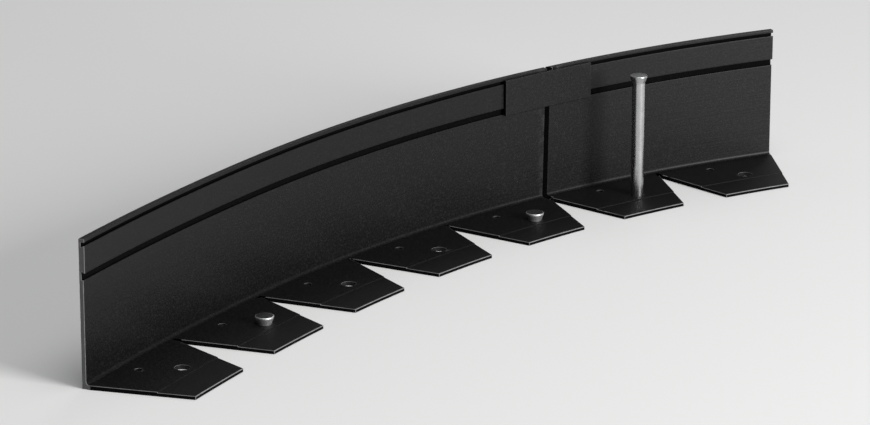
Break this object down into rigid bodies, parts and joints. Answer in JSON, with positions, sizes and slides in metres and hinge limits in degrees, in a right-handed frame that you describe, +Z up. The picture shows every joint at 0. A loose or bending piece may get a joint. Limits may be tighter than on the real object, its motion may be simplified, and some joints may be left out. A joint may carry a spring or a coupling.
{
  "type": "aluminum landscape edging",
  "caption": "Curved run of black L-shaped aluminium landscape edging with notched feet, a sliding connector over the joint and round ground spikes.",
  "frame": {"origin": "on the floor, below the middle of the run's bounding box", "axes": "+X along the run from its left end to its right end, +Z up, and -Y the side on which the feet point out"},
  "size_m": [0.7132, 0.1328, 0.1016],
  "materials": {
    "black_coated_aluminium": "black anodised, satin",
    "galvanised_steel": "bright zinc plated"
  },
  "bodies": {
    "root": {"edging_section_left": "black_coated_aluminium", "edging_section_right": "black_coated_aluminium", "sliding_connector": "black_coated_aluminium", "spike_driven_left": "galvanised_steel", "spike_driven_right": "galvanised_steel", "spike_standing": "galvanised_steel"}
  },
  "joints": []
}
